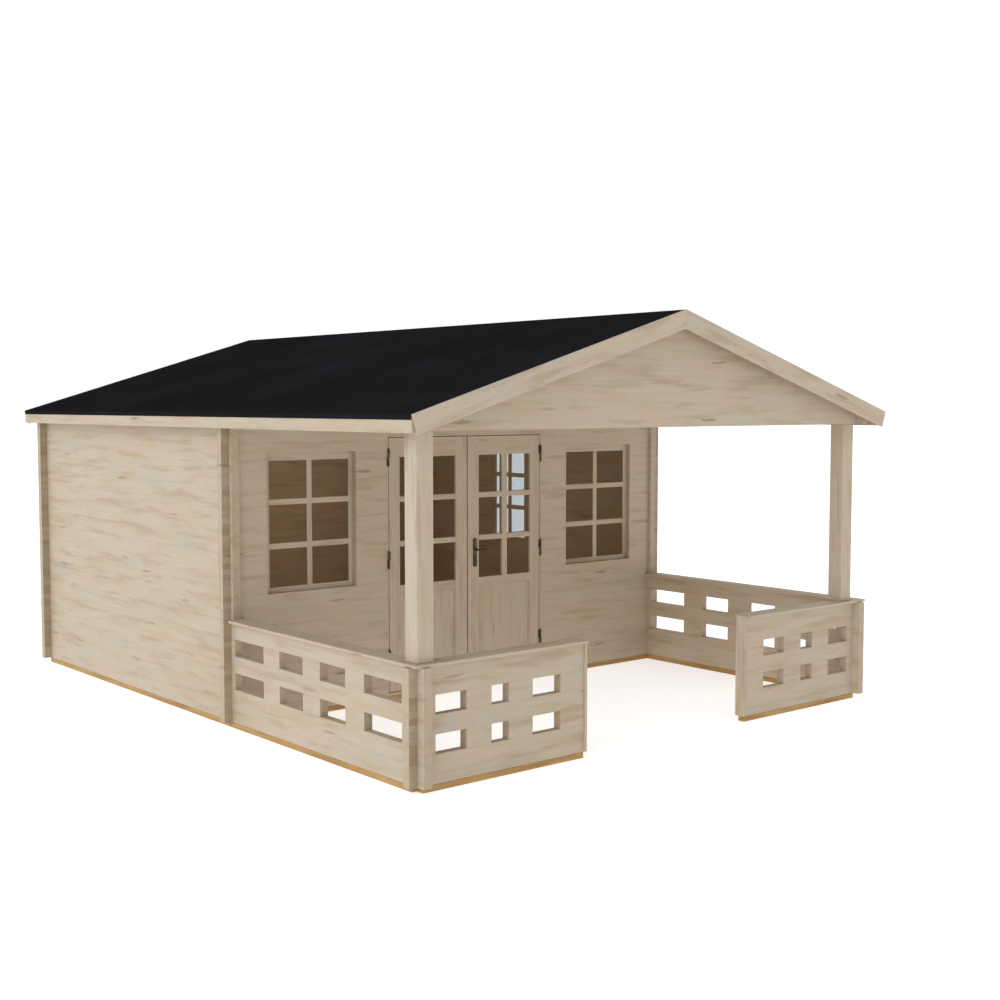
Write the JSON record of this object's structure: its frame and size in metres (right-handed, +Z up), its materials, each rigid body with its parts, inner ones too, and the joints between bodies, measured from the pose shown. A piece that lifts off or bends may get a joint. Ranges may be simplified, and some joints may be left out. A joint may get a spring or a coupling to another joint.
{
  "type": "log cabin with porch",
  "caption": "Log cabin of stacked planed logs with a gable roof over a railed open porch, double doors with glass and small-paned windows.",
  "frame": {"origin": "bottom centre of the whole building's box, on the ground", "axes": "+X to the right as seen from the porch side, +Y from the porch to the back, +Z up"},
  "size_m": [4.32, 5.562, 2.796],
  "materials": {
    "log_timber": "planed, untreated",
    "planed_boards": "planed, untreated",
    "joinery_timber": "planed, untreated",
    "treated_timber": "pressure treated, golden brown",
    "roof_felt": "bituminous felt, near black",
    "glass": "clear",
    "bronzed_metal": "dark bronze, satin"
  },
  "bodies": {
    "root": {"side_beams": "treated_timber", "cross_beams": "treated_timber", "front_beams": "treated_timber", "floor_joists": "treated_timber", "floor_boards": "planed_boards", "left_wall": "log_timber", "right_wall": "log_timber", "rear_wall": "log_timber", "front_wall_left": "log_timber", "front_wall_right": "log_timber", "front_wall_top": "log_timber", "rear_gable": "log_timber", "middle_gable": "log_timber", "porch_gable": "log_timber", "left_plate": "log_timber", "right_plate": "log_timber", "left_railing": "log_timber", "right_railing": "log_timber", "front_left_railing": "log_timber", "front_right_railing": "log_timber", "left_rail_cap": "planed_boards", "right_rail_cap": "planed_boards", "rail_end_boards": "planed_boards", "left_post": "log_timber", "right_post": "log_timber", "purlins": "log_timber", "left_roof_boards": "planed_boards", "right_roof_boards": "planed_boards", "roof_felt": "roof_felt", "eave_fascias": "planed_boards", "front_barge_boards": "planed_boards", "rear_barge_boards": "planed_boards", "left_window_frame": "joinery_timber", "right_window_frame": "joinery_timber", "side_window_frame": "joinery_timber", "window_glass": "glass", "door_frame": "joinery_timber", "frame_hinges": "bronzed_metal"},
    "left_door": {"left_leaf": "joinery_timber", "left_leaf_glass": "glass", "left_leaf_hinges": "bronzed_metal"},
    "right_door": {"right_leaf": "joinery_timber", "right_leaf_glass": "glass", "right_leaf_hinges": "bronzed_metal", "door_handle": "bronzed_metal"}
  },
  "joints": [
    {"name": "left_door_swing", "type": "hinge", "parent": "root", "child": "left_door", "pos_m": [-0.742, -0.542, 1.075], "axis": [0, 0, -1], "range_deg": [0, 165]},
    {"name": "right_door_swing", "type": "hinge", "parent": "root", "child": "right_door", "pos_m": [0.742, -0.542, 1.075], "axis": [0, 0, 1], "range_deg": [0, 165]}
  ]
}
